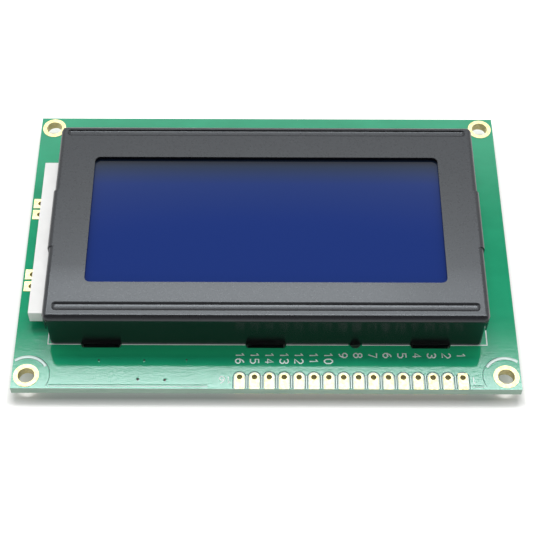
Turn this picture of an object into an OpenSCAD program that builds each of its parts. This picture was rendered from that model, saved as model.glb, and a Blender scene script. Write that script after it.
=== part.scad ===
// Character LCD module with a side-lit backlight, in millimetres.
// A stamped steel bezel clamps the glass cell, two rubber contact strips and the backlight to
// a circuit board, and its six tabs are folded over on the board's back.
// X runs along the header row, Y runs away from it and Z points up through the display.
// The origin is under the middle of the board, on the surface that the module lies on.

/* [Circuit board] */
// Width of the board, along the header row
board_w = 87; // [86:0.5:96]
// Depth of the board
board_d = 60; // [58:0.5:68]
// Thickness of the board
board_t = 1.6; // [1:0.1:2.4]
// Distance from each mounting hole's centre to the two board edges beside it
hole_inset = 2.5; // [2.4:0.1:2.8]
// Clear diameter of a mounting hole, inside its plating
mount_hole_d = 2.9; // [2.2:0.1:3.2]
// Outer diameter of the bare ring round a mounting hole
mount_ring_d = 4.4; // [4.2:0.1:4.8]
// Thickness of the copper and plating of every pad, ring and hole wall
plating_t = 0.07; // [0.05:0.01:0.1]

/* [Header row] */
// Number of header holes
pin_count = 16; // [14:1:18]
// Distance between neighbouring header holes
pin_pitch = 2.54; // [2.4:0.02:2.7]
// Clear diameter of a header hole
header_hole_d = 1; // [0.8:0.05:1.1]
// Width of a header pad
header_pad_w = 1.6; // [1.4:0.1:2.2]
// Distance from the header row to the near edge of the board
header_inset = 2.3; // [1.8:0.1:2.8]
// Distance from hole 1 to the right-hand edge of the board
header_end = 9.96; // [8:0.01:12]

/* [Backlight pads] */
// Distance from the left-hand edge of the board to the pads
side_pad_inset = 0.3; // [0.2:0.05:0.6]
// Depth of one backlight pad, along the board's edge
side_pad_d = 2.1; // [1.7:0.1:2.3]
// Distance between the two pads of a pair
side_pad_pitch = 2.54; // [2.4:0.02:2.8]
// Distance between the middles of the two pairs
side_pair_pitch = 15.9; // [12:0.1:22]
// Clear diameter of the hole in a backlight pad
side_hole_d = 1; // [0.8:0.05:1.2]
// Distance from a pad's outer edge to its hole
side_hole_inset = 1.3; // [1:0.05:1.4]

/* [Bezel] */
// Outer width of the bezel
bezel_w = 75.6; // [74:0.2:77]
// Outer depth of the bezel
bezel_d = 41.8; // [40:0.2:43]
// Height of the bezel's face above the board
bezel_h = 8.3; // [7.8:0.1:10]
// Sideways offset of the bezel from the middle of the board
bezel_dx = -0.1; // [-0.5:0.1:0.5]
// Thickness of the steel sheet
sheet_t = 0.5; // [0.4:0.05:0.6]
// Outer radius of the bends round the face
bend_r = 0.95; // [0.8:0.05:1.2]
// Width of the window
window_w = 62.2; // [56:0.2:64]
// Depth of the window
window_d = 27.5; // [24:0.1:29]
// Radius of the window's corners
window_r = 1; // [0.5:0.1:2]
// Width of a pressed bead at the face
bead_w = 1.4; // [1.2:0.1:1.6]
// Distance from the bezel's long edge to the middle of a bead
bead_inset = 2.4; // [2.1:0.1:2.5]
// Distance from the bezel's short edge to the end of a bead
bead_end = 1.6; // [1.4:0.1:6]
// Length of the swelling in the middle of each short side
swell_l = 12.4; // [8:0.2:20]
// Height of that swelling
swell_out = 0.25; // [0.1:0.05:0.3]
// Distance from the bezel's short side to the end of a long wall
wall_end = 0.8; // [0.7:0.05:1]
// Radius of a long wall's lower corners
wall_corner_r = 0.8; // [0.4:0.1:1.5]
// Gap between the light bar and the lower edge of the skirt over it
skirt_gap = 0.7; // [0.3:0.1:1]

/* [Tabs and slots] */
// Width of a fixing tab
tab_w = 6.1; // [4:0.1:7]
// Distance between neighbouring tabs
tab_pitch = 28.5; // [24:0.5:30]
// Flat length of a tab under the board, past its bend
tab_tail = 2.2; // [1.5:0.1:3]
// Inner radius of a tab's bend, and the gap that the slot leaves for it
tab_bend_r = 0.3; // [0.2:0.05:0.4]
// Gap between a tab and the ends of its slot
slot_end_gap = 0.4; // [0.2:0.05:0.6]
// Gap between a tab's outer face and its slot
slot_front_gap = 1; // [0.4:0.1:1.2]
// Radius of a slot's corners
slot_r = 0.5; // [0.3:0.05:0.6]
// Diameter of the locating hole at the near wall
locating_hole_d = 2; // [1.2:0.1:2.2]
// Place of the locating hole along the near wall, from the middle of the bezel
locating_x = 15.5; // [8:0.5:20]

/* [Liquid crystal cell] */
// Thickness of each glass
glass_t = 1.1; // [0.7:0.1:1.1]
// Thickness of each polariser film
polariser_t = 0.2; // [0.15:0.01:0.25]
// Gap between the front polariser and the face above it
polariser_gap = 0.15; // [0.1:0.01:0.2]
// Gap between the glass and the long walls
glass_gap = 0.3; // [0.15:0.05:0.4]
// Gap between the glass and the short skirts
glass_end_gap = 0.5; // [0.35:0.05:0.6]
// Length of the dab of adhesive that closes the fill port
port_seal_l = 2.4; // [1.6:0.2:4]

/* [Contact strips] */
// Thickness of a rubber contact strip
strip_t = 2.3; // [2:0.1:2.5]
// Distance from the end of the glass to the end of a strip
strip_end = 1.5; // [1:0.1:3]
// Gap between a strip and the backlight housing
strip_gap = 0.3; // [0.2:0.05:0.5]
// Distance between neighbouring contact fingers on the board
finger_pitch = 1.8; // [1.4:0.1:2.4]
// Width of a contact finger
finger_w = 0.9; // [0.5:0.1:1.2]

/* [Backlight] */
// Height of the housing's feet
foot_h = 1.2; // [0.8:0.1:1.4]
// Diameter of a foot
foot_d = 2.4; // [1.6:0.1:3]
// Thickness of the housing's floor
floor_t = 0.4; // [0.3:0.05:0.5]
// Thickness of the housing's side walls
housing_wall = 1; // [0.8:0.1:1.2]
// Gap between the housing and the short skirts
housing_gap = 0.15; // [0.1:0.05:0.3]
// Height of the light bar
bar_h = 2.6; // [2.4:0.1:2.8]
// Distance from the housing's near side to the end of the light bar
bar_near_gap = 0.2; // [0:0.1:1]
// Distance from the housing's far side to the end of the light bar
bar_far_gap = 1.6; // [0:0.1:2]
// Distance that the light bar stands out from the bezel
bar_out = 3.3; // [3:0.1:3.6]
// Thickness of the light bar's roof
bar_roof_t = 0.4; // [0.3:0.05:0.5]
// Thickness of the light bar's outer walls
bar_wall = 0.8; // [0.6:0.05:0.9]
// Thickness of the reflector sheet
reflector_t = 0.15; // [0.1:0.01:0.2]
// Thickness of the diffuser sheet
diffuser_t = 0.25; // [0.15:0.01:0.3]
// Gap round the light guide and the sheets
film_gap = 0.1; // [0.05:0.01:0.15]
// Thickness of the strip that carries the lamps
lamp_board_t = 0.6; // [0.4:0.05:0.8]
// Number of lamps
lamp_count = 6; // [4:1:7]
// Length of one lamp
lamp_l = 2.8; // [2:0.1:3.2]
// Height of one lamp
lamp_h = 1.2; // [0.8:0.1:1.3]
// Thickness of one lamp, towards the light guide
lamp_t = 0.8; // [0.6:0.05:0.9]
// Gap between the lamps and the light guide
lamp_gap = 0.2; // [0.1:0.05:0.3]
// Thickness of a backlight lead
lead_t = 0.5; // [0.3:0.05:0.55]
// Length of a lead's foot on its pad
lead_foot = 0.8; // [0.6:0.05:0.9]
// Radius of the solder round a lead's foot
lead_solder_r = 0.7; // [0.6:0.05:0.75]
// Height of that solder
lead_solder_h = 0.6; // [0.55:0.05:0.7]

/* [Back of the board] */
// Height of the sealing resin over a chip
resin_h = 1.8; // [1.5:0.1:2.2]
// Diameter of the resin at the board
resin_d = 15; // [13:0.5:16]
// Diameter of the resin's flat crown
resin_crown_d = 6; // [4:0.5:8]
// Gap between the far driver chip's resin and the lands of the far tabs
resin_gap = 1.1; // [0.6:0.1:3]
// Length of a small chip component
chip_l = 2; // [1.6:0.1:2.2]
// Width of a small chip component
chip_w = 1.25; // [1:0.05:1.4]
// Height of a resistor
resistor_h = 0.55; // [0.4:0.05:0.7]
// Height of a capacitor
capacitor_h = 0.9; // [0.7:0.05:1.2]
// Distance that a solder land shows past the end of its chip
land_out = 0.5; // [0.3:0.05:0.6]
// Distance between neighbouring divider resistors
divider_pitch = 3.6; // [3:0.1:4]

/* [Hidden] */
$fn = 96;

// Overshoot of a cut past the face that it leaves
cut = 1;

// Heights of the board's two faces
board_z = resin_h;
board_top = board_z + board_t;

// Mounting holes and pads on the board
hole_pitch_x = board_w - 2 * hole_inset;
hole_pitch_y = board_d - 2 * hole_inset;
header_y = header_inset - board_d / 2;
pin_one_x = board_w / 2 - header_end;
side_pad_x = side_pad_inset - board_w / 2;
side_hole_x = side_pad_x + side_hole_inset;

// Heights of the bezel
bezel_top = board_top + bezel_h;
face_under = bezel_top - sheet_t;
bar_top = board_top + foot_h + bar_h;
skirt_z = bar_top + skirt_gap;

// A bead is pressed in until it meets the front glass. Its groove is part of a round bar.
bead_depth = polariser_t + polariser_gap;
bead_y = bezel_d / 2 - bead_inset;
bead_r = (pow(bead_w / 2, 2) + pow(bead_depth, 2)) / (2 * bead_depth);
bead_axis_z = bezel_top - bead_depth + bead_r;
bead_run = bezel_w - 2 * bead_end - bead_w;
bead_under_r = bead_r + sheet_t;
bead_under_w = 2 * sqrt(pow(bead_under_r, 2) - pow(bead_axis_z - face_under, 2));

// The bend at the foot of a tab starts inside its slot
tab_bend_z = board_z - plating_t + tab_bend_r;
slot_d = slot_front_gap + sheet_t + tab_bend_r;
slot_w = tab_w + 2 * slot_end_gap;
slot_y = slot_d / 2 - bezel_d / 2 - slot_front_gap;
slot_inner_y = slot_y + slot_d / 2;
tab_land_d = tab_tail + tab_bend_r;

// The cell hangs under the beads, and everything below it fills the room down to the board
front_glass_top = face_under - bead_depth;
front_glass_z = front_glass_top - glass_t;
rear_glass_z = front_glass_z - glass_t;
rear_polariser_z = rear_glass_z - polariser_t;
glass_w = bezel_w - 2 * (sheet_t + glass_end_gap);
front_glass_d = bezel_d - 2 * (sheet_t + glass_gap);
housing_d = front_glass_d - 2 * (strip_t + strip_gap);
rear_glass_d = housing_d - 2 * strip_gap;
front_polariser_d = 2 * bead_y - bead_under_w - 2 * polariser_gap;
front_polariser_w = glass_w - 2 * housing_wall;

// Contact strips and the fingers under them
strip_l = glass_w - 2 * strip_end;
strip_y = (front_glass_d - strip_t) / 2;
finger_l = strip_t - 2 * film_gap;
finger_count = floor((strip_l - finger_w) / finger_pitch) + 1;

// Backlight housing and what lies in it
housing_w = bezel_w - 2 * (sheet_t + housing_gap);
housing_z = board_top + foot_h;
floor_z = housing_z + floor_t;
tray_w = housing_w - 2 * housing_wall;
tray_d = housing_d - 2 * housing_wall;
sheet_w = tray_w - 2 * film_gap;
sheet_d = tray_d - 2 * film_gap;
guide_z = floor_z + reflector_t;
diffuser_z = rear_polariser_z - film_gap - diffuser_t;
bar_x = -bezel_w / 2 - bar_out;
bar_room_top = bar_top - bar_roof_t;
bar_d = housing_d - bar_near_gap - bar_far_gap;
bar_y = (bar_near_gap - bar_far_gap) / 2;
bar_room_d = bar_d - 2 * bar_wall;
lamp_board_x = bar_x + bar_wall;
lamp_x = lamp_board_x + lamp_board_t;
guide_lip_x = lamp_x + lamp_t + lamp_gap;
lamp_z = (floor_z + bar_room_top) / 2;
lamp_pitch = (bar_room_d - 2 * film_gap) / lamp_count;
lead_x = bezel_dx + lamp_board_x + lamp_board_t / 2;
lead_y = (side_pair_pitch - side_pad_pitch) / 2;
lead_hole_d = lead_t * sqrt(2) + film_gap;
side_pad_w = lead_x + lead_t - side_pad_x;
foot_x = tray_w / 2 - foot_d;
foot_y = tray_d / 2 - foot_d;

// Places on the back of the board, chosen to keep clear of the tabs
controller_at = [-24, -7];
far_driver_y = -slot_inner_y - tab_land_d - resin_gap - resin_d / 2;
driver_at = [[2, far_driver_y], [26, -7]];
capacitor_at = [[-10, 4, 90], [14, -1, 90], [14, 12, 0]];
oscillator_at = [-12.5, -3, 90];
lamp_resistor_at = [[-38, 1.5, 0], [-38, -1.5, 0]];
divider_at = [-2 * divider_pitch, -12.5, 90];
divider_count = 5;
link_at = [-36, 10];
link_count = 3;
link_pitch = 3;
link_land = 1.2;
link_gap = 0.4;

resistor_at = concat(
    [for (i = [0 : divider_count - 1]) divider_at + [i * divider_pitch, 0, 0]],
    [oscillator_at], lamp_resistor_at);

// Draws its children at the four corners of a rectangle
module at_corners(w, d)
    for (sx = [-1, 1], sy = [-1, 1])
        translate([sx * w / 2, sy * d / 2]) children();

// Draws its children as they are, and mirrored to the far side
module near_and_far() {
    children();
    mirror([0, 1, 0]) children();
}

// Puts its children in line with the bezel and the display
module at_display() translate([bezel_dx, 0, 0]) children();

// Flat piece centred on the axis, between two heights
module slab(w, d, z_low, z_high)
    translate([0, 0, z_low])
        linear_extrude(z_high - z_low) square([w, d], center = true);

// Rectangle with round corners
module round_rect(w, d, r) {
    square([w - 2 * r, d], center = true);
    square([w, d - 2 * r], center = true);
    at_corners(w - 2 * r, d - 2 * r) circle(r);
}

module header_places()
    for (i = [0 : pin_count - 1])
        translate([pin_one_x - i * pin_pitch, header_y]) children();

module side_pad_places()
    for (pair = [-1, 1], k = [-1, 1])
        translate([side_hole_x, (pair * side_pair_pitch + k * side_pad_pitch) / 2]) children();

// The tab places of the near side and, mirrored, of the far side
module tab_places()
    at_display() near_and_far()
        for (i = [-1 : 1]) translate([i * tab_pitch, 0]) children();

module finger_places()
    at_display() near_and_far()
        for (i = [0 : finger_count - 1])
            translate([(i - (finger_count - 1) / 2) * finger_pitch, strip_y]) children();

// A hole through the board leaves room for its plating
module drilled(hole_d) circle(d = hole_d + 2 * plating_t);

// Wall of plating inside a hole, with its land on both faces of the board
module plated_hole(hole_d)
    difference() {
        union() {
            translate([0, 0, board_z]) linear_extrude(board_t) drilled(hole_d);
            for (z = [board_z - plating_t, board_top])
                translate([0, 0, z]) linear_extrude(plating_t) children();
        }
        translate([0, 0, board_z - cut]) cylinder(d = hole_d, h = board_t + 2 * cut);
    }

module circuit_board()
    color([0.1, 0.55, 0.38]) translate([0, 0, board_z]) linear_extrude(board_t)
        difference() {
            square([board_w, board_d], center = true);
            at_corners(hole_pitch_x, hole_pitch_y) drilled(mount_hole_d);
            header_places() drilled(header_hole_d);
            side_pad_places() drilled(side_hole_d);
            tab_places() translate([0, slot_y]) round_rect(slot_w, slot_d, slot_r);
            translate([bezel_dx + locating_x, -bezel_d / 2]) circle(d = locating_hole_d);
        }

module mounting_rings()
    color([0.93, 0.85, 0.55]) at_corners(hole_pitch_x, hole_pitch_y)
        plated_hole(mount_hole_d) circle(d = mount_ring_d);

// A header pad has a round inner end and runs out to the board's edge
module header_land() {
    circle(d = header_pad_w);
    translate([-header_pad_w / 2, -header_inset]) square([header_pad_w, header_inset]);
}

module header_pads()
    color([0.93, 0.85, 0.55]) {
        header_places() plated_hole(header_hole_d) header_land();
        // Pad 1 is square, so that the row can't be counted from the wrong end
        translate([pin_one_x, header_y]) plated_hole(header_hole_d)
            translate([-header_pad_w / 2, -header_inset])
                square([header_pad_w, header_inset + header_pad_w / 2]);
    }

module backlight_pads()
    color([0.93, 0.85, 0.55]) side_pad_places() plated_hole(side_hole_d)
        translate([-side_hole_inset, -side_pad_d / 2]) square([side_pad_w, side_pad_d]);

module contact_fingers()
    color([0.93, 0.85, 0.55]) translate([0, 0, board_top]) linear_extrude(plating_t)
        finger_places() square([finger_w, finger_l], center = true);

module tab_lands()
    color([0.75, 0.76, 0.78]) translate([0, 0, board_z - plating_t]) linear_extrude(plating_t)
        tab_places() translate([-slot_w / 2, slot_inner_y])
            square([slot_w, tab_land_d]);

// Lands under the two ends of each chip component
module chip_lands()
    color([0.75, 0.76, 0.78]) translate([0, 0, board_z - plating_t]) linear_extrude(plating_t)
        for (at = concat(resistor_at, capacitor_at), side = [-1, 1])
            translate([at[0], at[1]]) rotate(at[2])
                translate([side * (chip_l / 2), 0])
                    square([2 * land_out, chip_w], center = true);

// Open pairs of lands that the maker bridges with solder to suit each order
module link_lands()
    color([0.75, 0.76, 0.78]) translate([0, 0, board_z - plating_t]) linear_extrude(plating_t)
        for (i = [0 : link_count - 1], side = [-1, 1])
            translate(link_at + [side * (link_land + link_gap) / 2, -i * link_pitch])
                square([link_land, 1.5 * link_land], center = true);

// Section of a block whose two upper edges are bent to a radius
module bent_section(w, foot, top, r) {
    translate([-w / 2, foot]) square([w, top - r - foot]);
    translate([r - w / 2, foot]) square([w - 2 * r, top - foot]);
    for (side = [-1, 1]) translate([side * (w / 2 - r), top - r]) circle(r);
}

// Block with all four upper edges bent
module bent_block(w, d, foot, top, r)
    intersection() {
        rotate([90, 0, 0]) linear_extrude(d, center = true) bent_section(w, foot, top, r);
        rotate([90, 0, 90]) linear_extrude(w, center = true) bent_section(d, foot, top, r);
    }

// Form of the bezel, taken in all round by one depth: none for the outside, the sheet's
// thickness for the inside
module bezel_form(depth, foot) {
    w = bezel_w - 2 * depth;
    d = bezel_d - 2 * depth;
    bent_block(w, d, foot, bezel_top - depth, bend_r - depth);
    intersection() {
        bent_block(w + 2 * swell_out, d, foot, bezel_top - depth, bend_r - depth);
        slab(w + 2 * swell_out, swell_l - 2 * depth, foot, bezel_top);
    }
}

// Round bar with ball ends along each bead
module bead_bars(r)
    near_and_far() translate([0, -bead_y, bead_axis_z]) {
        rotate([0, 90, 0]) cylinder(r = r, h = bead_run, center = true);
        for (side = [-1, 1]) translate([side * bead_run / 2, 0, 0]) sphere(r);
    }

// The steel that a bead pushes down under the face
module bead_undersides()
    intersection() {
        bead_bars(bead_under_r);
        slab(bezel_w, bezel_d, front_glass_top, face_under + sheet_t / 2);
    }

// Room beside each skirt: the skirt stops above the light bar, a slit parts it from the long
// walls, and the walls' lower corners are round
module wall_ends()
    for (side = [-1, 1]) translate([side * (bezel_w / 2 - wall_end), 0, 0]) {
        translate([side * wall_end, 0, 0])
            slab(2 * wall_end, bezel_d + cut, board_top - cut, skirt_z);
        near_and_far()
            translate([side * (wall_end - sheet_t) / 2, -bezel_d / 2, board_top - cut])
                linear_extrude(bezel_h - bend_r + cut)
                    square([wall_end - sheet_t, 2 * sheet_t + glass_gap], center = true);
        translate([-side * wall_corner_r, 0, board_top + wall_corner_r])
            rotate([90, 0, 0]) linear_extrude(bezel_d + cut, center = true)
                difference() {
                    translate([side * wall_corner_r, -wall_corner_r])
                        square(2 * wall_corner_r, center = true);
                    circle(wall_corner_r);
                }
    }

// Section of a tab: down through the slot, round the bend and flat under the board
module tab_section() {
    bend_x = sheet_t + tab_bend_r;
    translate([0, tab_bend_z]) square([sheet_t, board_top + cut - tab_bend_z]);
    translate([bend_x, tab_bend_z]) intersection() {
        difference() {
            circle(bend_x);
            circle(tab_bend_r);
        }
        translate([-bend_x, -bend_x]) square(bend_x);
    }
    translate([bend_x, tab_bend_z - bend_x]) square([tab_tail, sheet_t]);
}

module bezel()
    color([0.16, 0.17, 0.18]) {
        at_display() difference() {
            union() {
                difference() {
                    bezel_form(0, board_top);
                    bezel_form(sheet_t, board_top - cut);
                }
                bead_undersides();
            }
            bead_bars(bead_r);
            wall_ends();
            translate([0, 0, face_under - cut]) linear_extrude(sheet_t + 2 * cut)
                round_rect(window_w, window_d, window_r);
        }
        tab_places() translate([0, -bezel_d / 2, 0])
            rotate([90, 0, 90]) linear_extrude(tab_w, center = true) tab_section();
    }

module front_polariser()
    color([0.16, 0.22, 0.5]) at_display()
        slab(front_polariser_w, front_polariser_d, front_glass_top, front_glass_top + polariser_t);

module front_glass()
    color([0.75, 0.85, 0.85, 0.5]) at_display()
        slab(glass_w, front_glass_d, front_glass_z, front_glass_top);

module rear_glass()
    color([0.75, 0.85, 0.85, 0.5]) at_display()
        slab(glass_w, rear_glass_d, rear_glass_z, front_glass_z);

module rear_polariser()
    color([0.3, 0.35, 0.45]) at_display()
        slab(sheet_w, sheet_d, rear_polariser_z, rear_glass_z);

// Dab of adhesive over the fill port, thickest at the joint between the two glasses
module fill_port_seal() {
    rise = glass_end_gap / 2;
    color([0.85, 0.8, 0.6]) at_display() translate([glass_w / 2, 0, front_glass_z])
        rotate([90, 0, 0]) linear_extrude(port_seal_l, center = true)
            polygon([[0, -glass_t / 2], [rise, -rise], [rise, rise], [0, glass_t / 2]]);
}

// Strip of rubber and carbon that joins the fingers on the board to the front glass
module contact_strip(side)
    color([0.75, 0.5, 0.5]) at_display() translate([0, side * strip_y, 0])
        slab(strip_l, strip_t, board_top + plating_t, front_glass_z);

module contact_strip_near() contact_strip(-1);

module contact_strip_far() contact_strip(1);

module light_bar_room(x_low, x_high, d, z_low, z_high)
    translate([(x_low + x_high) / 2, bar_y, 0])
        slab(x_high - x_low, d, z_low, z_high);

// Tray under the glass, with the light bar on its left and six feet
module backlight_housing()
    color([0.95, 0.95, 0.93]) difference() {
        at_display() difference() {
            union() {
                slab(housing_w, housing_d, housing_z, rear_glass_z);
                light_bar_room(bar_x, 0, bar_d, housing_z, bar_top);
                for (x = [-foot_x, 0, foot_x], y = [-foot_y, foot_y])
                    translate([x, y, board_top]) cylinder(d = foot_d, h = foot_h);
            }
            slab(tray_w, tray_d, floor_z, rear_glass_z + cut);
            light_bar_room(lamp_board_x, 0, bar_room_d, floor_z, bar_room_top);
        }
        for (side = [-1, 1]) translate([lead_x, side * lead_y, housing_z - cut])
            cylinder(d = lead_hole_d, h = floor_t + 2 * cut);
    }

// Clear plate whose lip reaches under the skirt to the lamps
module light_guide()
    color([0.85, 0.93, 0.95, 0.6]) at_display() {
        slab(sheet_w, sheet_d, guide_z, diffuser_z);
        light_bar_room(guide_lip_x, 0, bar_room_d - 2 * film_gap, guide_z,
            bar_room_top - film_gap);
    }

module diffuser_sheet()
    color([0.97, 0.97, 0.97]) at_display()
        slab(sheet_w, sheet_d, diffuser_z, diffuser_z + diffuser_t);

module reflector_sheet()
    color([0.9, 0.9, 0.92]) at_display() slab(sheet_w, sheet_d, floor_z, guide_z);

module lamp_board()
    color([0.9, 0.9, 0.85]) at_display()
        light_bar_room(lamp_board_x, lamp_x, bar_room_d - 2 * film_gap, floor_z,
            bar_room_top - film_gap);

module backlight_lamps()
    color([0.95, 0.85, 0.3]) at_display()
        for (i = [0 : lamp_count - 1])
            translate([0, (i - (lamp_count - 1) / 2) * lamp_pitch, 0])
                light_bar_room(lamp_x, lamp_x + lamp_t, lamp_l,
                    lamp_z - lamp_h / 2, lamp_z + lamp_h / 2);

// Pin from the lamp board down through the housing, with a foot on the pad
module backlight_lead() {
    foot_z = board_top + plating_t;
    slab(lead_t, lead_t, foot_z, floor_z);
    translate([-lead_foot / 2, 0, 0]) slab(lead_t + lead_foot, lead_t, foot_z, foot_z + lead_t);
}

module lead_places()
    for (side = [-1, 1]) translate([lead_x, side * lead_y, 0]) children();

module backlight_leads() color([0.8, 0.8, 0.82]) lead_places() backlight_lead();

module lead_solder()
    color([0.75, 0.76, 0.78]) lead_places() difference() {
        translate([-lead_foot / 2, 0, board_top + plating_t])
            cylinder(r1 = lead_solder_r, r2 = lead_solder_r - lead_t / 2, h = lead_solder_h);
        backlight_lead();
    }

// Flattened dome of sealing resin, hanging under the board with its crown at the bottom
module resin_dome() {
    base_r = resin_d / 2;
    crown_r = resin_crown_d / 2;
    rise = (pow(base_r, 2) - pow(crown_r, 2) - pow(resin_h, 2)) / (2 * resin_h);
    intersection() {
        translate([0, 0, board_z + rise])
            sphere(sqrt(pow(base_r, 2) + pow(rise, 2)), $fn = 180);
        translate([0, 0, board_z - resin_h]) cylinder(r = base_r + cut, h = resin_h);
    }
}

module controller_resin() color([0.08, 0.08, 0.09]) translate(controller_at) resin_dome();

module driver_resin()
    color([0.08, 0.08, 0.09]) for (at = driver_at) translate(at) resin_dome();

// Chip component on its lands, under the board
module chip(at, h)
    translate([at[0], at[1], board_z - plating_t - h]) rotate(at[2])
        linear_extrude(h) square([chip_l, chip_w], center = true);

module chip_resistors() color([0.12, 0.12, 0.13]) for (at = resistor_at) chip(at, resistor_h);

module chip_capacitors() color([0.6, 0.5, 0.38]) for (at = capacitor_at) chip(at, capacitor_h);

circuit_board();
mounting_rings();
header_pads();
backlight_pads();
contact_fingers();
tab_lands();
chip_lands();
link_lands();
bezel();
front_polariser();
front_glass();
rear_glass();
rear_polariser();
fill_port_seal();
contact_strip_near();
contact_strip_far();
backlight_housing();
light_guide();
diffuser_sheet();
reflector_sheet();
lamp_board();
backlight_lamps();
backlight_leads();
lead_solder();
controller_resin();
driver_resin();
chip_resistors();
chip_capacitors();
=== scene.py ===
import math

import bmesh
import bpy
from mathutils import Matrix, Vector


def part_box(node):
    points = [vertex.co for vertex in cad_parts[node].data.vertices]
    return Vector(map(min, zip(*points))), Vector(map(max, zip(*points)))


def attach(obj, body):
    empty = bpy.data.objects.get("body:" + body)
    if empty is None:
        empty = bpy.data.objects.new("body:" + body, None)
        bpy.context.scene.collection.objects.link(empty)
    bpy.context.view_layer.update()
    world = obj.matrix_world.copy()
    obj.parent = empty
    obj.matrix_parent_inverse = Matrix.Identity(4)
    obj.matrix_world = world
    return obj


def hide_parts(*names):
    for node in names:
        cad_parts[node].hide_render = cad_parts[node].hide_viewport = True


# The character LCD module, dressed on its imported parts. Metres; Z points up out of the display.
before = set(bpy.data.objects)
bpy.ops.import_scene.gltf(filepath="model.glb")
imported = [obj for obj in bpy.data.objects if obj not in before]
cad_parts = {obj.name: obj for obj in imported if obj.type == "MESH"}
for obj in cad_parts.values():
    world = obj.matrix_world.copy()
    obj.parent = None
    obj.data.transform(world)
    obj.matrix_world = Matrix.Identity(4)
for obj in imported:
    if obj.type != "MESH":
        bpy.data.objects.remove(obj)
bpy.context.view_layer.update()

MM = 0.001
SCENE = bpy.context.scene


def parts_of(node):
    """Boxes of a node's separate solids, in order: (lowest corner, highest corner) of each, in metres."""
    bm = bmesh.new()
    bm.from_mesh(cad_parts[node].data)
    bmesh.ops.remove_doubles(bm, verts=bm.verts, dist=0.002 * MM)
    left, boxes = set(bm.verts), []
    while left:
        found, edge = set(), {left.pop()}
        while edge:
            vert = edge.pop()
            found.add(vert)
            edge |= {e.other_vert(vert) for e in vert.link_edges} - found
        left -= found
        boxes.append(tuple(Vector(pick(v.co[i] for v in found) for i in range(3)) for pick in (min, max)))
    bm.free()
    return sorted(boxes, key=lambda box: tuple(box[0]))


def middle(box):
    return (box[0] + box[1]) / 2


# Places and sizes that the drawn pieces take from the solids
board_low, board_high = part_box("circuit_board")
bezel_low, bezel_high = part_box("bezel")
BOARD_TOP, BOARD_BACK = board_high.z, board_low.z
NEAR_EDGE = board_low.y / MM
# Header pads from pad 1 at the right to the last, and the line of their holes
pads = sorted(parts_of("header_pads"), key=lambda box: -box[0].x)
PAD_X = [middle(box).x / MM for box in pads]
PAD_COUNT = len(pads)
PAD_Y = (pads[0][1].y - (pads[0][1].x - pads[0][0].x) / 2) / MM
PAD_HALF = pads[0][1].x / MM - PAD_X[0]
RINGS = [middle(box) / MM for box in parts_of("mounting_rings")]
TABS = [middle(box).x / MM for box in parts_of("tab_lands") if middle(box).y < 0]
CHIPS = parts_of("chip_resistors") + parts_of("chip_capacitors")


# ---------------------------------------------------------------- shapes

def piece(name, mesh, material):
    """A finished mesh as a piece of the module: it gets its finish and rides on the body."""
    mesh.name = name
    mesh.materials.clear()
    mesh.materials.append(material)
    thing = bpy.data.objects.new(name, mesh)
    SCENE.collection.objects.link(thing)
    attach(thing, "root")
    return thing


def mesh_from(bm):
    mesh = bpy.data.meshes.new("shape")
    bm.to_mesh(mesh)
    bm.free()
    return mesh


def arc(centre, radius, start, end, steps=24):
    """Points along an arc, with its angles in degrees."""
    return [
        (centre[0] + radius * math.cos(a), centre[1] + radius * math.sin(a))
        for a in (math.radians(start + (end - start) * i / steps) for i in range(steps + 1))
    ]


def lines(name, paths, width, rise, z, material):
    """Lines of one width on a flat face, in millimetres: each is a round bar pressed flat."""
    curve = bpy.data.curves.new(name, "CURVE")
    curve.dimensions = "3D"
    curve.twist_mode = "Z_UP"
    curve.bevel_depth = width * MM / 2
    curve.bevel_resolution = 1
    curve.use_fill_caps = True
    for path in paths:
        spline = curve.splines.new("POLY")
        spline.points.add(len(path) - 1)
        for point, (x, y) in zip(spline.points, path):
            point.co = (x * MM, y * MM, 0, 1)
    drawn = bpy.data.objects.new(name, curve)
    SCENE.collection.objects.link(drawn)
    mesh = bpy.data.meshes.new_from_object(drawn)
    bpy.data.objects.remove(drawn)
    mesh.transform(Matrix.Translation((0, 0, z)) @ Matrix.Diagonal((1, 1, 2 * rise / width, 1)))
    return piece(name, mesh, material)


def frame_line(low, high, gaps=()):
    """Paths round a rectangle, in millimetres, with gaps left in its near and far sides."""
    (x0, y0), (x1, y1) = low, high
    ends = [x0] + [x for gap in sorted(gaps) for x in gap] + [x1]
    spans = list(zip(ends[::2], ends[1::2]))
    near, far = ([[(a, y), (b, y)] for a, b in spans] for y in (y0, y1))
    near[0].insert(0, (x0, (y0 + y1) / 2))
    near[-1].append((x1, (y0 + y1) / 2))
    far[0].insert(0, (x0, (y0 + y1) / 2))
    far[-1].append((x1, (y0 + y1) / 2))
    return near + far


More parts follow.
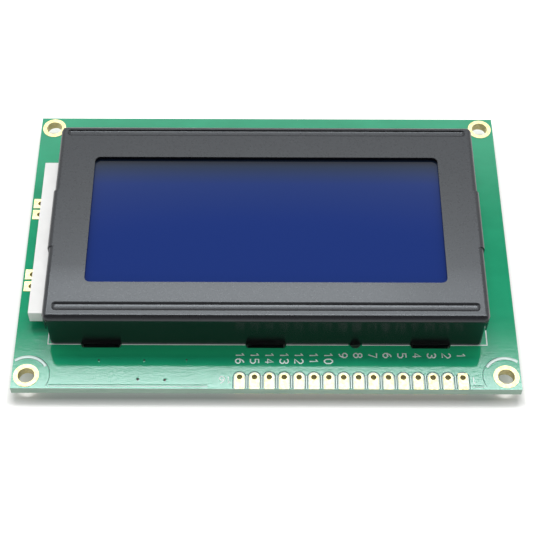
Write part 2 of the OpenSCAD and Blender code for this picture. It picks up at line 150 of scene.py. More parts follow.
# Strokes of the plain figures, on a grid one unit high
FIGURES = {
    "0": [[(0, 0.25), (0, 0.75), (0.2, 1), (0.4, 1), (0.6, 0.75), (0.6, 0.25), (0.4, 0), (0.2, 0), (0, 0.25)]],
    "1": [[(0.08, 0.75), (0.32, 1), (0.32, 0)]],
    "2": [[(0, 0.8), (0.18, 1), (0.42, 1), (0.6, 0.8), (0.6, 0.6), (0, 0), (0.62, 0)]],
    "3": [[(0, 0.85), (0.15, 1), (0.42, 1), (0.58, 0.85), (0.58, 0.68), (0.4, 0.54), (0.22, 0.54)],
          [(0.4, 0.54), (0.6, 0.38), (0.6, 0.18), (0.42, 0), (0.15, 0), (0, 0.15)]],
    "4": [[(0.44, 0), (0.44, 1), (0, 0.3), (0.62, 0.3)]],
    "5": [[(0.58, 1), (0.04, 1), (0.02, 0.58), (0.4, 0.6), (0.6, 0.42), (0.6, 0.18), (0.42, 0), (0, 0)]],
    "6": [[(0.5, 1), (0.2, 0.85), (0, 0.5), (0, 0.2), (0.18, 0), (0.42, 0), (0.6, 0.2), (0.6, 0.38),
           (0.42, 0.56), (0.04, 0.5)]],
    "7": [[(0, 1), (0.6, 1), (0.2, 0)]],
    "8": [[(0.2, 0.54), (0.03, 0.7), (0.03, 0.85), (0.18, 1), (0.42, 1), (0.57, 0.85), (0.57, 0.7),
           (0.4, 0.54), (0.2, 0.54), (0, 0.36), (0, 0.18), (0.18, 0), (0.42, 0), (0.6, 0.18),
           (0.6, 0.36), (0.4, 0.54)]],
    "9": [[(0.1, 0), (0.4, 0.15), (0.6, 0.5), (0.6, 0.8), (0.42, 1), (0.18, 1), (0, 0.8), (0, 0.62),
           (0.18, 0.44), (0.56, 0.5)]],
}


FIGURE_PITCH = 0.86


def figures(number, at, height, turn, mirrored=False):
    """Paths of a plain number, in millimetres. It starts at a corner and runs along a turned line."""
    paths, along = [], 0
    c, s = math.cos(math.radians(turn)), math.sin(math.radians(turn))
    for figure in str(number):
        for stroke in FIGURES[figure]:
            flat = [((x + along) * height * (-1 if mirrored else 1), y * height) for x, y in stroke]
            paths.append([(at[0] + x * c - y * s, at[1] + x * s + y * c) for x, y in flat])
        along += FIGURE_PITCH
    return paths


def route(*corners, cut=0.8):
    """A track through its corners, in millimetres, with each corner cut off at an angle."""
    path = [corners[0]]
    for before, here, after in zip(corners, corners[1:], corners[2:]):
        for other in (before, after):
            away = Vector(other) - Vector(here)
            path.append(tuple(Vector(here) + away.normalized() * min(cut, away.length / 2)))
    return path + [corners[-1]]


def studs(name, places, radius, rise, face, side, material, pit=0.0):
    """Low round studs on a face, in millimetres, each with a pit in its middle if one is asked for.

    They stand up from the face where side is 1 and hang down from it where side is -1.
    """
    crown_radius = 0.7 * radius
    bm = bmesh.new()
    for x, y in places:
        made = bmesh.ops.create_cone(
            bm, cap_ends=True, segments=16, radius1=radius * MM, radius2=crown_radius * MM, depth=rise * MM,
            matrix=Matrix.Translation((x * MM, y * MM, face + side * rise * MM / 2))
            @ Matrix.Diagonal((1, 1, side, 1)))
        if pit:
            crown = [f for f in {f for v in made["verts"] for f in v.link_faces}
                     if abs(f.calc_center_median().z - face - side * rise * MM) < 0.001 * MM]
            bmesh.ops.inset_region(bm, faces=crown, thickness=(crown_radius - pit) * MM)
            bmesh.ops.translate(bm, vec=(0, 0, -side * 0.8 * rise * MM),
                                verts=[v for f in crown for v in f.verts])
    bmesh.ops.recalc_face_normals(bm, faces=bm.faces)
    return piece(name, mesh_from(bm), material)


def along_steps(value, stops):
    """A place moved along straight steps: each stop is a place and where it goes."""
    for (a, to_a), (b, to_b) in zip(stops, stops[1:]):
        if value <= b:
            return to_a + (to_b - to_a) * (value - a) / (b - a)
    return value + stops[-1][1] - stops[-1][0]


SHARP_ANGLE = math.radians(30)


def softened(name, node, radius, material, cuts=(), shift=None):
    """A copy of a solid with its faces joined and its sharp edges rounded, in its place.

    Its faces may first be cut along planes, and its corners shifted.
    """
    bm = bmesh.new()
    bm.from_mesh(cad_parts[node].data)
    for cut_at, across in cuts:
        bmesh.ops.bisect_plane(bm, geom=bm.verts[:] + bm.edges[:] + bm.faces[:],
                               plane_co=cut_at, plane_no=across)
    if shift:
        for vert in bm.verts:
            vert.co = shift(vert.co)
    bmesh.ops.remove_doubles(bm, verts=bm.verts, dist=0.002 * MM)
    bmesh.ops.dissolve_limit(bm, angle_limit=math.radians(0.6), verts=bm.verts, edges=bm.edges,
                             use_dissolve_boundaries=False)
    thing = piece(name, mesh_from(bm), material)
    bevel = thing.modifiers.new("rounded edges", "BEVEL")
    bevel.width = radius * MM
    bevel.segments = 2
    bevel.profile = 0.5
    bevel.limit_method = "ANGLE"
    bevel.angle_limit = SHARP_ANGLE
    bevel.use_clamp_overlap = True
    thing.data.shade_smooth()
    thing.data.set_sharp_from_angle(angle=SHARP_ANGLE)
    weights = thing.modifiers.new("even shading", "WEIGHTED_NORMAL")
    weights.weight = 100
    weights.keep_sharp = True
    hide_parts(node)


# ---------------------------------------------------------------- finishes

class Graph:
    """The nodes of a material or a world, and short ways to add to them."""

    def __init__(self, tree):
        self.nodes, self.links = tree.nodes, tree.links

    def node(self, kind, inputs=None, **settings):
        """A new node. Its inputs are given constants, or another node's outputs to link."""
        made = self.nodes.new(kind)
        for key, value in settings.items():
            setattr(made, key, value)
        for key, value in (inputs or {}).items():
            if isinstance(value, bpy.types.NodeSocket):
                self.links.new(value, made.inputs[key])
            else:
                made.inputs[key].default_value = value
        return made

    def maths(self, operation, *values):
        """One step of arithmetic on constants and other nodes' outputs."""
        return self.node("ShaderNodeMath", dict(enumerate(values)), operation=operation).outputs[0]

    def split(self, vector):
        """A vector's parts, by the names X, Y and Z."""
        return self.node("ShaderNodeSeparateXYZ", {"Vector": vector}).outputs

    def ramp(self, value, *stops):
        """Colours along a value: each stop is a position and a colour."""
        made = self.node("ShaderNodeValToRGB", {"Fac": value})
        points = made.color_ramp.elements
        while len(points) < len(stops):
            points.new(0.5)
        for point, (at, colour) in zip(points, stops):
            point.position = at
            point.color = (*colour, 1)
        return made.outputs["Color"]

    def greys(self, value, stops):
        """Brightness along a value: each stop is a position and a level."""
        return self.ramp(value, *((at, (level,) * 3) for at, level in stops))

    def span(self, value, low, high, to_low, to_high, **settings):
        """A value carried from one range to another, and held at its ends."""
        return self.node("ShaderNodeMapRange", {
            "Value": value, "From Min": low, "From Max": high,
            "To Min": to_low, "To Max": to_high}, **settings).outputs["Result"]

    def mix(self, share, first, second):
        """The first colour where the share is 0 and the second where it is 1."""
        made = self.node("ShaderNodeMix", data_type="RGBA")
        for socket, value in zip((0, 6, 7), (share, first, second)):
            if isinstance(value, bpy.types.NodeSocket):
                self.links.new(value, made.inputs[socket])
            else:
                made.inputs[socket].default_value = value if socket == 0 else (*value, 1)
        return made.outputs[2]


class Finish(Graph):
    """A material with one shader, and short ways to feed patterns into it."""

    def __init__(self, name, colour, roughness, **settings):
        self.material = bpy.data.materials.new(name)
        self.material.use_nodes = True
        super().__init__(self.material.node_tree)
        self.shader = self.nodes["Principled BSDF"]
        self.shader.inputs["Base Color"].default_value = (*colour, 1)
        self.shader.inputs["Roughness"].default_value = roughness
        for key, value in settings.items():
            self.shader.inputs[key.replace("_", " ")].default_value = value
        self.place = self.node("ShaderNodeTexCoord").outputs["Object"]

    def feed(self, socket, output):
        self.links.new(output, self.shader.inputs[socket])

    def facing(self):
        """How far a face looks up: 1 for the top, 0 for upright faces, -1 for the underside."""
        return self.split(self.node("ShaderNodeNewGeometry").outputs["True Normal"])["Z"]

    def grain(self, size, detail=3, roughness=0.55, stretch=(1, 1, 1)):
        """Cloudy pattern whose blotches are about one size, in millimetres, before stretching."""
        stretched = self.node("ShaderNodeMapping", {"Vector": self.place, "Scale": stretch})
        return self.node("ShaderNodeTexNoise", {
            "Vector": stretched.outputs["Vector"], "Scale": 1 / (size * MM),
            "Detail": detail, "Roughness": roughness}).outputs["Fac"]

    def relief(self, height, depth):
        """Bump of a depth in millimetres."""
        made = self.node("ShaderNodeBump", {"Height": height, "Strength": 1, "Distance": depth * MM})
        self.feed("Normal", made.outputs["Normal"])


# Tint of the shine on the mask and the paint
COOL = (0.87, 0.94, 1.0)
# How far the mask's ripples stand out, in millimetres, and the roughness of the board's cut edges
RIPPLE = 0.004
CUT_ROUGHNESS = 0.6


def solder_mask(name, low, high, roughness=0.06, painted_light_band=None):
    """Glossy green mask, cloudy over the copper, with bare glass-epoxy on the cut edges.

    The front may take a lighter green in a band along the bezel's near wall: painted light, lifting the shade
    that the wall casts there.
    """
    f = Finish(name, low, roughness, IOR=1.56, Specular_Tint=(*COOL, 1))
    green = f.ramp(f.grain(5, 4, 0.6, (0.6, 1, 1)), (0.3, low), (0.7, high))
    fibre = f.grain(0.5, 2, 0.5, (0.12, 0.12, 1.6))
    edge = f.ramp(fibre, (0.3, (0.25, 0.38, 0.30)), (0.7, (0.34, 0.47, 0.38)))
    facing = f.facing()
    side = f.span(f.maths("ABSOLUTE", facing), 0.4, 0.6, 1.0, 0.0)
    # Painted light: a lighter green on the front next to the bezel's near wall, where the wall's shade falls
    if painted_light_band:
        place = f.split(f.place)
        share = f.span(facing, 0.4, 0.6, 0.0, 1.0)
        for part in (f.span(place["Y"], -19 * MM, -21.5 * MM, 0.0, 1.0),
                     f.span(place["Y"], -24.3 * MM, -22.9 * MM, 0.0, 1.0),
                     f.span(f.maths("ABSOLUTE", place["X"]), 38.5 * MM, 36 * MM, 0.0, 1.0)):
            share = f.maths("MULTIPLY", share, part)
        green = f.mix(share, green, painted_light_band)
    f.feed("Base Color", f.mix(side, green, edge))
    f.feed("Roughness", f.span(side, 0, 1, roughness, CUT_ROUGHNESS))
    # Fine lines along the board over a mottle
    streaks = f.grain(0.45, 2, 0.5, (0.06, 1, 1))
    mottle = f.grain(0.36, 3, 0.6, (0.6, 1, 1))
    f.relief(f.maths("MULTIPLY_ADD", streaks, 0.22, mottle), RIPPLE)
    return f.material


def gold_plate():
    f = Finish("gold_plate", (0.66, 0.56, 0.26), 0.35, Metallic=1.0)
    worn = f.grain(0.7, 3)
    f.feed("Base Color", f.ramp(worn, (0.35, (0.58, 0.50, 0.24)), (0.65, (0.70, 0.64, 0.38))))
    f.feed("Roughness", f.span(f.grain(0.3, 2), 0.3, 0.7, 0.37, 0.50))
    f.relief(f.grain(0.25, 3), 0.0015)
    return f.material


def bright_tin():
    f = Finish("bright_tin", (0.78, 0.79, 0.80), 0.28, Metallic=1.0)
    f.feed("Roughness", f.span(f.grain(0.4, 3), 0.3, 0.7, 0.18, 0.42))
    f.relief(f.grain(0.5, 3), 0.006)
    return f.material


def black_paint():
    """Satin black paint with a fine orange peel, on steel whose near edge sags a little."""
    f = Finish("black_paint", (0.006, 0.007, 0.008), 0.29, IOR=1.56, Specular_Tint=(*COOL, 1))
    f.feed("Base Color", f.ramp(f.grain(7, 4, 0.6),
                                (0.3, (0.0045, 0.0035, 0.005)), (0.7, (0.006, 0.005, 0.0065))))
    # Upright faces are a little smoother
    upright = f.span(f.facing(), 0.3, 0.05, 1.0, 0.75)
    satin = f.span(f.grain(0.4, 3, 0.7), 0.3, 0.7, 0.26, 0.32)
    f.feed("Roughness", f.maths("MULTIPLY", satin, upright))
    # The face sags towards its near edge, less so at the right, and the walls lean
    place = f.split(f.place)
    sag = f.span(place["Y"], -10 * MM, -20 * MM, 0.0, -60.0, interpolation_type="SMOOTHSTEP")
    share = f.span(place["X"], 18 * MM, 27 * MM, 1, 0.55)
    lean = f.span(place["Z"], BOARD_TOP, bezel_high.z - 1.2 * MM, 0, 350)
    form = f.maths("MULTIPLY_ADD", sag, share, lean)
    f.relief(f.maths("ADD", form, f.grain(0.35, 3)), 0.0025)
    return f.material


def display_film():
    """Deep blue display, darker towards the far edge of the window: painted shade of the bezel's far edge on
    the layers under it.
    """
    f = Finish("display_film", (0.006, 0.031, 0.19), 0.05, IOR=1.44)
    # Painted shade: the blue darkens towards the window's far edge
    depth = f.span(f.split(f.place)["Y"], 0, 13.8 * MM, 0, 1)
    f.feed("Base Color", f.ramp(depth, (0.0, (0.007, 0.027, 0.166)), (0.58, (0.008, 0.029, 0.155)),
                                (0.74, (0.011, 0.029, 0.108)), (0.88, (0.010, 0.024, 0.060)),
                                (0.955, (0.004, 0.008, 0.018))))
    return f.material


def clear(name, colour, alpha):
    f = Finish(name, colour, 0.03, IOR=1.5, Alpha=alpha)
    f.relief(f.grain(6, 2), 0.001)
    return f.material


def plain(name, low, high, size, roughness, depth, **settings):
    """A moulded, pressed or laid material with a slight variation of colour and surface."""
    f = Finish(name, low, roughness, **settings)
    f.feed("Base Color", f.ramp(f.grain(size, 3), (0.3, low), (0.7, high)))
    f.relief(f.grain(size / 3, 3), depth)
    return f.material


# The main mask's band by the bezel's near wall is painted light
MASK = solder_mask("solder_mask", (0.007, 0.283, 0.136), (0.012, 0.335, 0.166), painted_light_band=(0.016, 0.44, 0.193))
# Painted shade and painted highlight: dark and pale mask for the lines at the copper's edges
MASK_PAINTED_SHADE = solder_mask("mask_painted_shade", (0.006, 0.13, 0.08), (0.010, 0.17, 0.10), 0.3)
MASK_PAINTED_HIGHLIGHT = solder_mask("mask_painted_highlight", (0.42, 0.58, 0.52), (0.60, 0.72, 0.68), 0.2)
MASK_EDGE = plain("mask_at_pad_edges", (0.05, 0.12, 0.10), (0.08, 0.16, 0.14), 0.5, 0.6, 0.001, IOR=1.3)
MASK_TRACK = solder_mask("mask_over_tracks", (0.03, 0.42, 0.22), (0.04, 0.47, 0.26), 0.12)
# Painted shade: near-black for the via holes and pits
HOLE_PAINTED_SHADE = plain("painted_hole_shade", (0.004, 0.006, 0.005), (0.01, 0.012, 0.01), 0.2, 0.5, 0.001)
GOLD = gold_plate()
TIN = bright_tin()
PAINT = black_paint()
FILM = display_film()
GLASS = clear("clear_glass", (0.85, 0.92, 0.92), 0.35)
ACRYLIC = clear("clear_acrylic", (0.90, 0.94, 0.95), 0.5)
REAR_FILM = plain("rear_film", (0.25, 0.28, 0.34), (0.30, 0.33, 0.40), 4, 0.2, 0.0005)
ADHESIVE = plain("cured_adhesive", (0.70, 0.66, 0.45), (0.80, 0.76, 0.56), 0.6, 0.15, 0.003)
RUBBER = plain("contact_rubber", (0.45, 0.25, 0.26), (0.55, 0.33, 0.33), 1.5, 0.7, 0.003)
PLASTIC = plain("white_plastic", (0.80, 0.80, 0.79), (0.86, 0.86, 0.85), 3, 0.35, 0.002)
SHEET = plain("white_film", (0.86, 0.86, 0.86), (0.90, 0.90, 0.90), 3, 0.4, 0.0005)
LAMINATE = plain("lamp_laminate", (0.78, 0.78, 0.72), (0.84, 0.84, 0.78), 1, 0.5, 0.001)
PHOSPHOR = plain("lamp_phosphor", (0.85, 0.70, 0.10), (0.92, 0.80, 0.18), 0.4, 0.25, 0.002)
RESIN = plain("black_resin", (0.010, 0.010, 0.011), (0.018, 0.018, 0.020), 2, 0.22, 0.02)
RESISTOR = plain("resistor_glaze", (0.02, 0.02, 0.022), (0.035, 0.035, 0.04), 0.5, 0.3, 0.002)
CAPACITOR = plain("capacitor_ceramic", (0.42, 0.30, 0.18), (0.50, 0.38, 0.24), 0.5, 0.45, 0.002)
INK = plain("white_ink", (0.80, 0.88, 0.86), (0.88, 0.95, 0.93), 0.3, 0.4, 0.002)

node_finishes = {
    "circuit_board": MASK, "mounting_rings": GOLD, "header_pads": GOLD, "backlight_pads": GOLD,
    "contact_fingers": GOLD, "tab_lands": TIN, "chip_lands": TIN, "link_lands": TIN,
    "bezel": PAINT, "front_polariser": FILM, "front_glass": GLASS, "rear_glass": GLASS,
    "rear_polariser": REAR_FILM, "fill_port_seal": ADHESIVE, "contact_strip_near": RUBBER,
    "contact_strip_far": RUBBER, "backlight_housing": PLASTIC, "light_guide": ACRYLIC,
    "diffuser_sheet": SHEET, "reflector_sheet": SHEET, "lamp_board": LAMINATE,
    "backlight_lamps": PHOSPHOR, "backlight_leads": TIN, "lead_solder": TIN,
    "controller_resin": RESIN, "driver_resin": RESIN, "chip_resistors": RESISTOR,
    "chip_capacitors": CAPACITOR,
}
for node, material in node_finishes.items():
    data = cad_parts[node].data
    data.materials.clear()
    data.materials.append(material)

# ---------------------------------------------------------------- bezel

BEZEL_MIDDLE = (bezel_low + bezel_high) / 2
# Half the sizes of the bezel's face. The swellings of the short sides stand out past it.
SWELLING = 0.25
half_x = (bezel_high.x - bezel_low.x) / MM / 2 - SWELLING
half_y = (bezel_high.y - bezel_low.y) / MM / 2
# The pressed steel stands out a little past its solid, at its short sides and at its long sides
SIDE_OUT, LONG_OUT = 0.2, 0.3
# Its corners are round from this far before the edges, and the very corner is drawn in by this part
CORNER_START, CORNER_PULL = 1.1, 0.3


def steps_to(half, *insets):
    """Steps from the middle to an edge: how far inside the edge a place lies, and comes to lie."""
    return [(0, 0)] + [(half - before, half - after) for before, after in insets]


# The steps end with the bend and the edge. In Y they first pass a bead's inner side, the two sides
# of its bottom and its outer side, and the far bead comes to run along the far bend. In X they
# first pass the window's edge and the ends of the beads.
NEAR_STEPS = steps_to(half_y, (3.1, 3.1), (2.48, 2.65), (2.32, 2.05), (1.7, 1.35), (1, 0.7), (0, -LONG_OUT))
FAR_STEPS = steps_to(half_y, (7.1, 7.1), (3.1, 2.1), (2.44, 1.65), (2.25, 0.85), (1.7, 0.68), (0.95, 0.6),
                     (0, -LONG_OUT))
X_STEPS = steps_to(half_x, (6.7, 6.6), (1.6, 1.45), (1, 0.8), (0, -SIDE_OUT))
FAR_X_STEPS = steps_to(half_x, (6.7, 6.6), (1.6, 1.1), (1, 0.8), (0, -SIDE_OUT))
TAB_STEPS = [(0, LONG_OUT), (half_y, half_y + LONG_OUT)]

# Planes across the faces where the round corners start
corner_cuts = []
for axis, half in enumerate((half_x, half_y)):
    across = Vector((axis == 0, axis == 1, 0))
    for side in (-1, 1):
        corner_cuts.append((BEZEL_MIDDLE + across * (side * (half - CORNER_START) * MM), across))


def pressed(place):
    """Where a point of the bezel's solid lies on the pressed steel."""
    x, y = place.x - BEZEL_MIDDLE.x, place.y - BEZEL_MIDDLE.y
    # The bends meet in round corners
    past = Vector((abs(x) / MM - half_x + CORNER_START, abs(y) / MM - half_y + CORNER_START))
    if min(past) > 0.01:
        pull = 1 - CORNER_PULL * min(past) / CORNER_START
        x = math.copysign((half_x - CORNER_START + past.x * pull) * MM, x)
        y = math.copysign((half_y - CORNER_START + past.y * pull) * MM, y)
    if place.z < BOARD_TOP - 0.01 * MM:
        steps = TAB_STEPS
    else:
        steps = FAR_STEPS if y > 0 else NEAR_STEPS
        x = math.copysign(along_steps(abs(x) / MM, FAR_X_STEPS if y > 0 else X_STEPS) * MM, x)
    y = math.copysign(along_steps(abs(y) / MM, steps) * MM, y)
    return Vector((x + BEZEL_MIDDLE.x, y + BEZEL_MIDDLE.y, place.z))


softened("bezel_shell", "bezel", 0.06, PAINT, corner_cuts, pressed)

# ---------------------------------------------------------------- front of the board


def front_lines(name, paths, width, rise, material):
    """Lines on the front of the board, in millimetres."""
    lines(name, paths, width, rise, BOARD_TOP, material)


INK_RISE = 0.015
# The printed frame round the bezel, open at the tab slots and at the locating hole
FRAME_OUT = 0.3
TAB_GAP_HALF = 3.55
LOCATING_X, LOCATING_GAP_HALF = 15.4, 1.2
outline_low = (bezel_low.x / MM + FRAME_OUT, bezel_low.y / MM - FRAME_OUT)
outline_high = (bezel_high.x / MM + FRAME_OUT, bezel_high.y / MM + FRAME_OUT)
gaps = [(x - TAB_GAP_HALF, x + TAB_GAP_HALF) for x in TABS]
gaps.append((LOCATING_X - LOCATING_GAP_HALF, LOCATING_X + LOCATING_GAP_HALF))
front_lines("front_outline", frame_line(outline_low, outline_high, gaps), 0.26, INK_RISE, INK)

NUMBER_H, END_NUMBER_H = 1.4, 1.3
numbers = []
for count, x in enumerate(PAD_X, start=1):
    numbers += figures(count, (x - NUMBER_H / 2, PAD_Y + 4.8), NUMBER_H, -90)
front_lines("front_numbers", numbers, 0.25, INK_RISE, INK)
# The ends of the header row, numbered once more beside their pads
end_numbers = figures(PAD_COUNT, (PAD_X[-1] - 1.5, PAD_Y + 0.1), END_NUMBER_H, 180)
end_numbers += figures(1, (PAD_X[0] + 2.2, PAD_Y + 0.1), END_NUMBER_H, 180)
front_lines("front_end_numbers", end_numbers, 0.2, INK_RISE, INK)

RELIEF_RISE = 0.02
# Edges of the copper under the mask: dark arcs round the near mounting holes, painted shade, each with a pale
# rim inside it, a painted highlight, and dark lines of painted shade along the board's near edge, each with a
# pale line of painted highlight nearer the edge
CLEAR_R, RIM_R = 4.0, 3.67
EDGE_MARGIN = 0.3
near_rings = sorted((c.x, c.y) for c in RINGS if c.y < 0)
painted_shade_arcs, painted_highlight_arcs = [], []
for x, y in near_rings:
    # Angles at the right-hand ring, mirrored for the other. The rim starts at the board's side.
    at_side = math.degrees(math.acos((board_high.x / MM - EDGE_MARGIN - abs(x)) / RIM_R))
    dark_from, dark_to, pale_from, pale_to = (
        angle if x > 0 else 180 - angle for angle in (106, 210, at_side, 150))
    painted_shade_arcs.append(arc((x, y), CLEAR_R, dark_from, dark_to))
    painted_highlight_arcs.append(arc((x, y), RIM_R, pale_from, pale_to))
left_ring, right_ring = near_rings
pour_y = NEAR_EDGE + 0.75
pour_painted_shade_lines = [
    [(left_ring[0] + 3.9, pour_y), (PAD_X[-1] - 5.4, pour_y)],
    [(PAD_X[0] + 1.5, pour_y), (right_ring[0] - 3.9, pour_y)],
]
pour_painted_highlights = [[(x, y - 0.3) for x, y in path] for path in pour_painted_shade_lines]


def round_pads(gap):
    """Paths round the header pads, at a gap from them."""
    out, foot = PAD_HALF + gap, NEAR_EDGE + 0.1
    return [[(x + out, foot)] + arc((x, PAD_Y), out, 0, 180, 16) + [(x - out, foot)] for x in PAD_X]


half_pitch = (PAD_X[0] - PAD_X[1]) / 2
between_pads = [[(x + half_pitch, y) for y in (NEAR_EDGE + 0.15, PAD_Y + 0.3)] for x in PAD_X[1:]]
# Pale rims round the header pads and pale lines between them are painted highlight on the mask
front_lines("front_pad_edges", round_pads(0.3), 0.15, RELIEF_RISE, MASK_EDGE)
front_lines("front_pad_painted_highlights", round_pads(0.13), 0.24, RELIEF_RISE, MASK_PAINTED_HIGHLIGHT)
front_lines("front_pad_gap_painted_highlights", between_pads, 0.3, RELIEF_RISE, MASK_PAINTED_HIGHLIGHT)
front_lines("front_pour_painted_highlights", pour_painted_highlights, 0.16, RELIEF_RISE, MASK_PAINTED_HIGHLIGHT)
front_lines("front_copper_painted_shade", painted_shade_arcs + pour_painted_shade_lines, 0.13, RELIEF_RISE, MASK_PAINTED_SHADE)
front_lines("front_copper_painted_highlights", painted_highlight_arcs, 0.6, RELIEF_RISE, MASK_PAINTED_HIGHLIGHT)

# Two open via holes by the near edge, and three that the mask covers. Dark discs in the open holes and in the
# covered ones are painted shade.
open_vias = [(-21.9, -28.2), (-17.3, -28.3)]
covered_vias = [(-28.8, -24.4), (-21.0, -24.4), (-13.7, -24.3)]
for name, places, radius, rise, material in (
        ("front_vias", open_vias + covered_vias, 0.36, 0.006, MASK),
        ("front_via_hole_shade", open_vias, 0.3, 0.012, HOLE_PAINTED_SHADE),
        ("front_via_pit_shade", covered_vias, 0.19, 0.012, HOLE_PAINTED_SHADE)):
    studs(name, places, radius, rise, BOARD_TOP, 1, material)

# ---------------------------------------------------------------- back of the board

domes = sorted((middle(box) / MM for box in parts_of("controller_resin") + parts_of("driver_resin")),
               key=lambda at: at.x)
controller, drivers = domes[0], domes[1:]

tracks, back_vias = [], []
# Data and control lines, from the header pads to the controller
for lane, x in enumerate(PAD_X[5:14][::-1]):
    y, up, across = -25.9 + 0.42 * lane, -15.2 + 0.6 * lane, -11.6 + 0.6 * lane
    tracks.append(route((x, PAD_Y + 0.6), (x, y), (up, y), (up, across), (controller.x + 5.5, across)))
# Supply lines to the right
for lane, x in enumerate(PAD_X[:3]):
    y, up, across = -25.2 + 0.8 * lane, 39.0 - 0.9 * lane, -8.4 + 0.9 * lane
    tracks.append(route((x, PAD_Y + 0.6), (x, y), (up, y), (up, across), (drivers[1].x + 6, across), cut=1.4))
# Backlight lines to the left
for lane, x in enumerate(PAD_X[14:]):
    y, up = -25.9 + 0.9 * lane, -37.6 + 0.9 * lane
    tracks.append(route((x, PAD_Y + 0.6), (x, y), (up, y), (up, -4.5 + 2 * lane), cut=1.8))
# Display lines, fanning out from each chip to the row of links to the glass
CHIP_PITCH, LINK_Y = 0.66, 16.7
for dome, link_pitch in ((controller, 0.9), (drivers[0], 1.5), (drivers[1], 0.9)):
    for j in range(-7, 8):
        inner_x, outer_x = dome.x + CHIP_PITCH * j, dome.x + link_pitch * j
        knee_y = dome.y + 7.6 + 0.1 * (7 - abs(j))
        tracks.append([(inner_x, dome.y + 5.6), (inner_x, knee_y),
                       (outer_x, max(knee_y + 1.2, LINK_Y - 1.8)), (outer_x, LINK_Y)])
        back_vias.append((outer_x, LINK_Y))
# Bus between the three chips
BUS_PITCH = 0.6
for j in range(6):
    y, x = controller.y + 1.2 - BUS_PITCH * j, -4.4 + BUS_PITCH * j
    tracks.append(route((controller.x + 5, y), (x, y), (x, drivers[0].y - 5)))
    y, x = drivers[1].y + 3.6 - BUS_PITCH * j, drivers[0].x + 1 + BUS_PITCH * j
    tracks.append(route((x, drivers[0].y - 5), (x, y), (drivers[1].x - 6, y)))
lines("back_tracks", tracks, 0.24, 0.03, BOARD_BACK, MASK_TRACK)
studs("back_vias", back_vias, 0.3, 0.05, BOARD_BACK, -1, TIN, pit=0.12)

# Print: rings round the resin domes, frames round the small chips, and the row's end numbers
END_ROOM, SIDE_ROOM = 0.75, 0.3
printed = [arc((c.x, c.y), 8.1, 0, 360, 64) for c in domes]
for box in CHIPS:
    c, half = middle(box) / MM, (box[1] - box[0]) / MM / 2
    room_x, room_y = (END_ROOM, SIDE_ROOM) if half.x > half.y else (SIDE_ROOM, END_ROOM)
    printed += frame_line((c.x - half.x - room_x, c.y - half.y - room_y),
                          (c.x + half.x + room_x, c.y + half.y + room_y))
for count, aside in ((1, 2.6), (PAD_COUNT, -1.6)):
    printed += figures(count, (PAD_X[count - 1] + aside, PAD_Y - 0.7), NUMBER_H, 0, mirrored=True)
lines("back_print", printed, 0.18, 0.012, BOARD_BACK, INK)


def cap(bm, at, size, rounding):
    """A small box with rounded edges: its middle and its full size, in metres."""
    made = bmesh.ops.create_cube(bm, size=1, matrix=Matrix.Translation(at) @ Matrix.Diagonal((*size, 1)))
    edges = list(dict.fromkeys(e for v in made["verts"] for e in v.link_edges))
    bmesh.ops.bevel(bm, geom=edges, offset=rounding, segments=2, profile=0.5, affect="EDGES", material=-1)


# The small chips' metal end caps, and the solder that climbs them
CAP_LENGTH, CAP_GROWTH = 0.42, 0.03
SOLDER_LENGTH, SOLDER_HEIGHT = 0.62, 0.34
caps, solder = bmesh.new(), bmesh.new()
for box in CHIPS:
    c, size = middle(box), box[1] - box[0]
    long = 0 if size.x > size.y else 1
    for side in (-1, 1):
        at, cap_size = c.copy(), size + Vector((CAP_GROWTH,) * 3) * MM
        at[long] += side * (size[long] / 2 - 0.2 * MM)
        cap_size[long] = CAP_LENGTH * MM
        cap(caps, at, cap_size, 0.04 * MM)
        at = Vector((c.x, c.y, BOARD_BACK - 0.22 * MM))
        at[long] += side * (size[long] / 2 + 0.12 * MM)
        bead = Vector((0, 0, SOLDER_HEIGHT * MM))
        bead[long], bead[1 - long] = SOLDER_LENGTH * MM, size[1 - long] * 0.92
        cap(solder, at, bead, 0.15 * MM)
piece("chip_end_caps", mesh_from(caps), TIN)
piece("chip_solder", mesh_from(solder), TIN).data.shade_smooth()

for name in ("controller_resin", "driver_resin"):
    softened(name + "_dome", name, 0.05, RESIN)

# ---------------------------------------------------------------- light, floor and camera

# Brightness of the surroundings by height, on the far side and behind the viewer
FAR_SIDE = ((0.0, 0.8), (0.05, 1.0), (0.3, 1.0), (0.74, 1.8), (0.765, 1.5), (0.785, 0.6), (0.805, 0.25),
            (0.84, 0.22), (0.95, 0.22), (1.0, 0.1))
VIEWER_SIDE = ((0.0, 0.8), (0.05, 1.0), (0.25, 1.0), (0.45, 0.5), (0.93, 0.32), (0.985, 0.08))
# Glow of the floor, from well under the module to clear of it; its dip to nothing at the module's edges is a
# painted shadow
FLOOR_GLOW_AND_PAINTED_SHADOW = ((0.0, 0.0), (0.2, 0.4), (0.45, 0.4), (0.66, 0.0), (0.78, 0.3), (1.0, 1.0))


def world_light():
    """Pale surroundings: white at the horizon, a dark break below the lamp, dim behind the viewer."""
    world = bpy.data.worlds.new("studio")
    SCENE.world = world
    world.use_nodes = True
    g = Graph(world.node_tree)
    heading = g.split(g.node("ShaderNodeTexCoord").outputs["Generated"])
    far, near = (g.greys(heading["Z"], stops) for stops in (FAR_SIDE, VIEWER_SIDE))
    share = g.span(heading["Y"], 0.05, -0.25, 0.0, 1.0, interpolation_type="SMOOTHSTEP")
    g.links.new(g.mix(share, far, near), g.nodes["Background"].inputs["Color"])


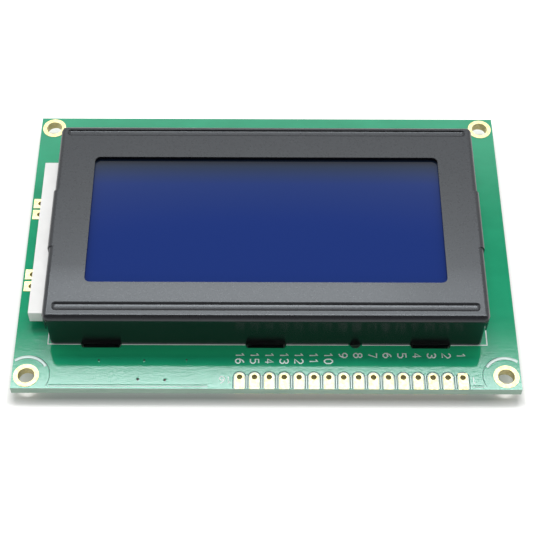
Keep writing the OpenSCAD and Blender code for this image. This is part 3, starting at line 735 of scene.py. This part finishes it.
def studio_floor():
    """White paper. What the camera and reflections see of it glows, weaker under the module and fading to
    nothing at its edges: a painted shadow.
    """
    bm = bmesh.new()
    bmesh.ops.create_grid(bm, x_segments=1, y_segments=1, size=3,
                          matrix=Matrix.Translation((0, 0, -0.05 * MM)))
    mesh = mesh_from(bm)
    material = bpy.data.materials.new("pale_floor")
    material.use_nodes = True
    g = Graph(material.node_tree)
    g.nodes.remove(g.nodes["Principled BSDF"])
    paper = g.node("ShaderNodeBsdfDiffuse", {"Color": (0.80, 0.80, 0.79, 1)})
    ray = g.node("ShaderNodeLightPath").outputs
    mirrored = g.maths("MAXIMUM", ray["Is Glossy Ray"], ray["Is Transmission Ray"])
    seen = g.maths("MAXIMUM", ray["Is Camera Ray"], mirrored)
    place = g.split(g.node("ShaderNodeTexCoord").outputs["Object"])
    clear_of = [g.span(g.maths("ABSOLUTE", place[axis]), half - 4 * MM, half + 2 * MM, 0.0, 1.0)
                for axis, half in (("X", board_high.x), ("Y", board_high.y))]
    # Painted shadow: the glow fades under and round the module's edges
    shade = g.greys(g.maths("MAXIMUM", *clear_of), FLOOR_GLOW_AND_PAINTED_SHADOW)
    strength = g.maths("MULTIPLY", g.maths("MULTIPLY", seen, 0.42), shade)
    glow = g.node("ShaderNodeEmission", {"Strength": strength})
    both = g.node("ShaderNodeAddShader", {0: paper.outputs[0], 1: glow.outputs[0]})
    g.links.new(both.outputs[0], g.nodes["Material Output"].inputs["Surface"])
    mesh.materials.append(material)
    floor = bpy.data.objects.new("floor", mesh)
    SCENE.collection.objects.link(floor)


def soft_box(name, low, high, height, radiance):
    """A level rectangular lamp over the far side of the module."""
    light = bpy.data.lights.new(name, "AREA")
    light.shape = "RECTANGLE"
    light.size = high[0] - low[0]
    light.size_y = high[1] - low[1]
    light.energy = radiance * math.pi * light.size * light.size_y
    lamp = bpy.data.objects.new(name, light)
    lamp.location = ((low[0] + high[0]) / 2, (low[1] + high[1]) / 2, height)
    SCENE.collection.objects.link(lamp)


def viewing_camera():
    """The view from in front and above, turned about a point near the bezel's near wall."""
    azimuth, elevation, roll = (math.radians(a) for a in (-0.029, 55.432, 0.200))
    target = Vector((-0.013, -4.766, 3.4)) * MM
    turn = (Matrix.Rotation(azimuth, 4, "Z") @ Matrix.Rotation(math.pi / 2 - elevation, 4, "X")
            @ Matrix.Rotation(roll, 4, "Z"))
    data = bpy.data.cameras.new("camera")
    data.sensor_width = 36
    data.lens = 93.77
    data.clip_start = 0.01
    camera = bpy.data.objects.new("camera", data)
    away = Matrix.Translation((0, 0, 249.85 * MM))
    camera.matrix_world = Matrix.Translation(target) @ turn @ away
    SCENE.collection.objects.link(camera)
    SCENE.camera = camera


world_light()
studio_floor()
# The lamp fades towards its far edge in two steps: each has its near edge, far edge and radiance
LAMP_HALF, LAMP_HEIGHT = 0.32, 1.0
LAMPS = ((0.3, 0.546, 14.0), (0.546, 0.5625, 6.0), (0.5625, 0.59, 2.2))
for count, (near, far, radiance) in enumerate(LAMPS, start=1):
    soft_box(f"soft_box_{count}", (-LAMP_HALF, near), (LAMP_HALF, far), LAMP_HEIGHT, radiance)
viewing_camera()
SCENE.view_settings.view_transform = "Standard"
